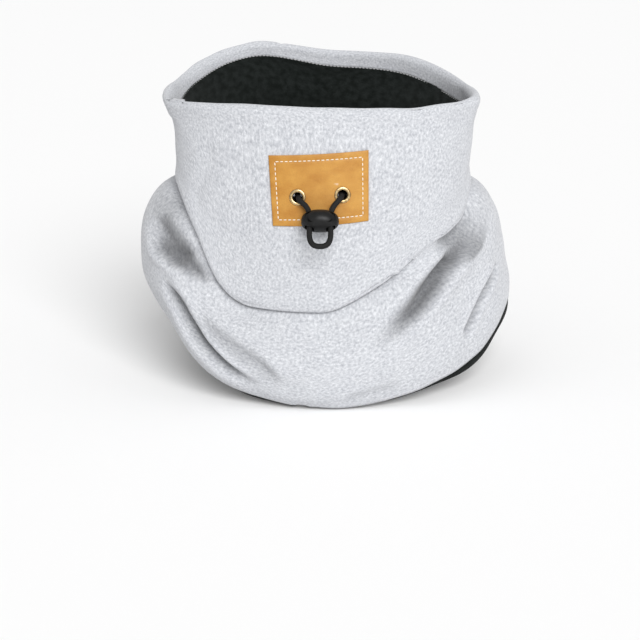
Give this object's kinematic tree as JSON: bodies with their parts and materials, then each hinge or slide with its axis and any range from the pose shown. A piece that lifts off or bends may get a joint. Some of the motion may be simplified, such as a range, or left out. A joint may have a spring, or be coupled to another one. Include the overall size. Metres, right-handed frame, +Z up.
{
  "type": "neck gaiter",
  "caption": "Lined fleece neck gaiter with a leather patch, two eyelets and an elastic drawcord cinched by a sprung two-hole cord lock.",
  "frame": {"origin": "on the axis of the wearer's neck, at the height of the shoulders, just above the sides of the hem", "axes": "+Z up along the neck, -Y towards the wearer's front with the patch, +X towards the wearer's left"},
  "size_m": [0.2972, 0.222, 0.2417],
  "materials": {
    "grey_fleece": "brushed heather fleece",
    "dark_fleece": "brushed charcoal fleece",
    "grey_thread": "matte thread",
    "dark_thread": "matte thread",
    "dark_tape": "woven tape",
    "tan_leather": "smooth tanned, satin",
    "cream_thread": "waxed thread",
    "antique_brass": "antiqued",
    "black_cord": "braided elastic",
    "black_plastic": "fine moulded satin",
    "spring_steel": "drawn wire"
  },
  "bodies": {
    "gaiter": {"outer_shell": "grey_fleece", "lining": "dark_fleece", "facing_seam_thread": "dark_thread", "hem_seam_thread": "dark_thread", "back_seam_thread": "grey_thread", "leather_patch": "tan_leather", "patch_stitching": "cream_thread", "eyelet_left": "antique_brass", "eyelet_right": "antique_brass", "eyelet_washer_left": "antique_brass", "eyelet_washer_right": "antique_brass", "drawcord_left": "black_cord", "drawcord_right": "black_cord", "cord_tack": "dark_thread", "cord_tunnel_tape": "dark_tape"},
    "cord_loop": {"drawcord_front": "black_cord"},
    "lock": {"lock_body": "black_plastic", "lock_spring": "spring_steel"},
    "plunger": {"lock_plunger": "black_plastic"}
  },
  "joints": [
    {"name": "loop_swing", "type": "hinge", "parent": "gaiter", "child": "cord_loop", "pos_m": [0, -0.1031, 0.0856], "axis": [-1, 0, 0], "range_deg": [0, 75], "deforming": ["drawcord_front"]},
    {"name": "lock_slide", "type": "slide", "parent": "cord_loop", "child": "lock", "axis": [0, -0.6691, -0.7431], "range_m": [-0.002, 0.006]},
    {"name": "plunger_press", "type": "slide", "parent": "lock", "child": "plunger", "axis": [0, -0.7431, 0.6691], "range_m": [0, 0.0025], "stiffness_N_per_m": 1200, "springref_m": -0.0015, "deforming": ["lock_spring"]}
  ]
}
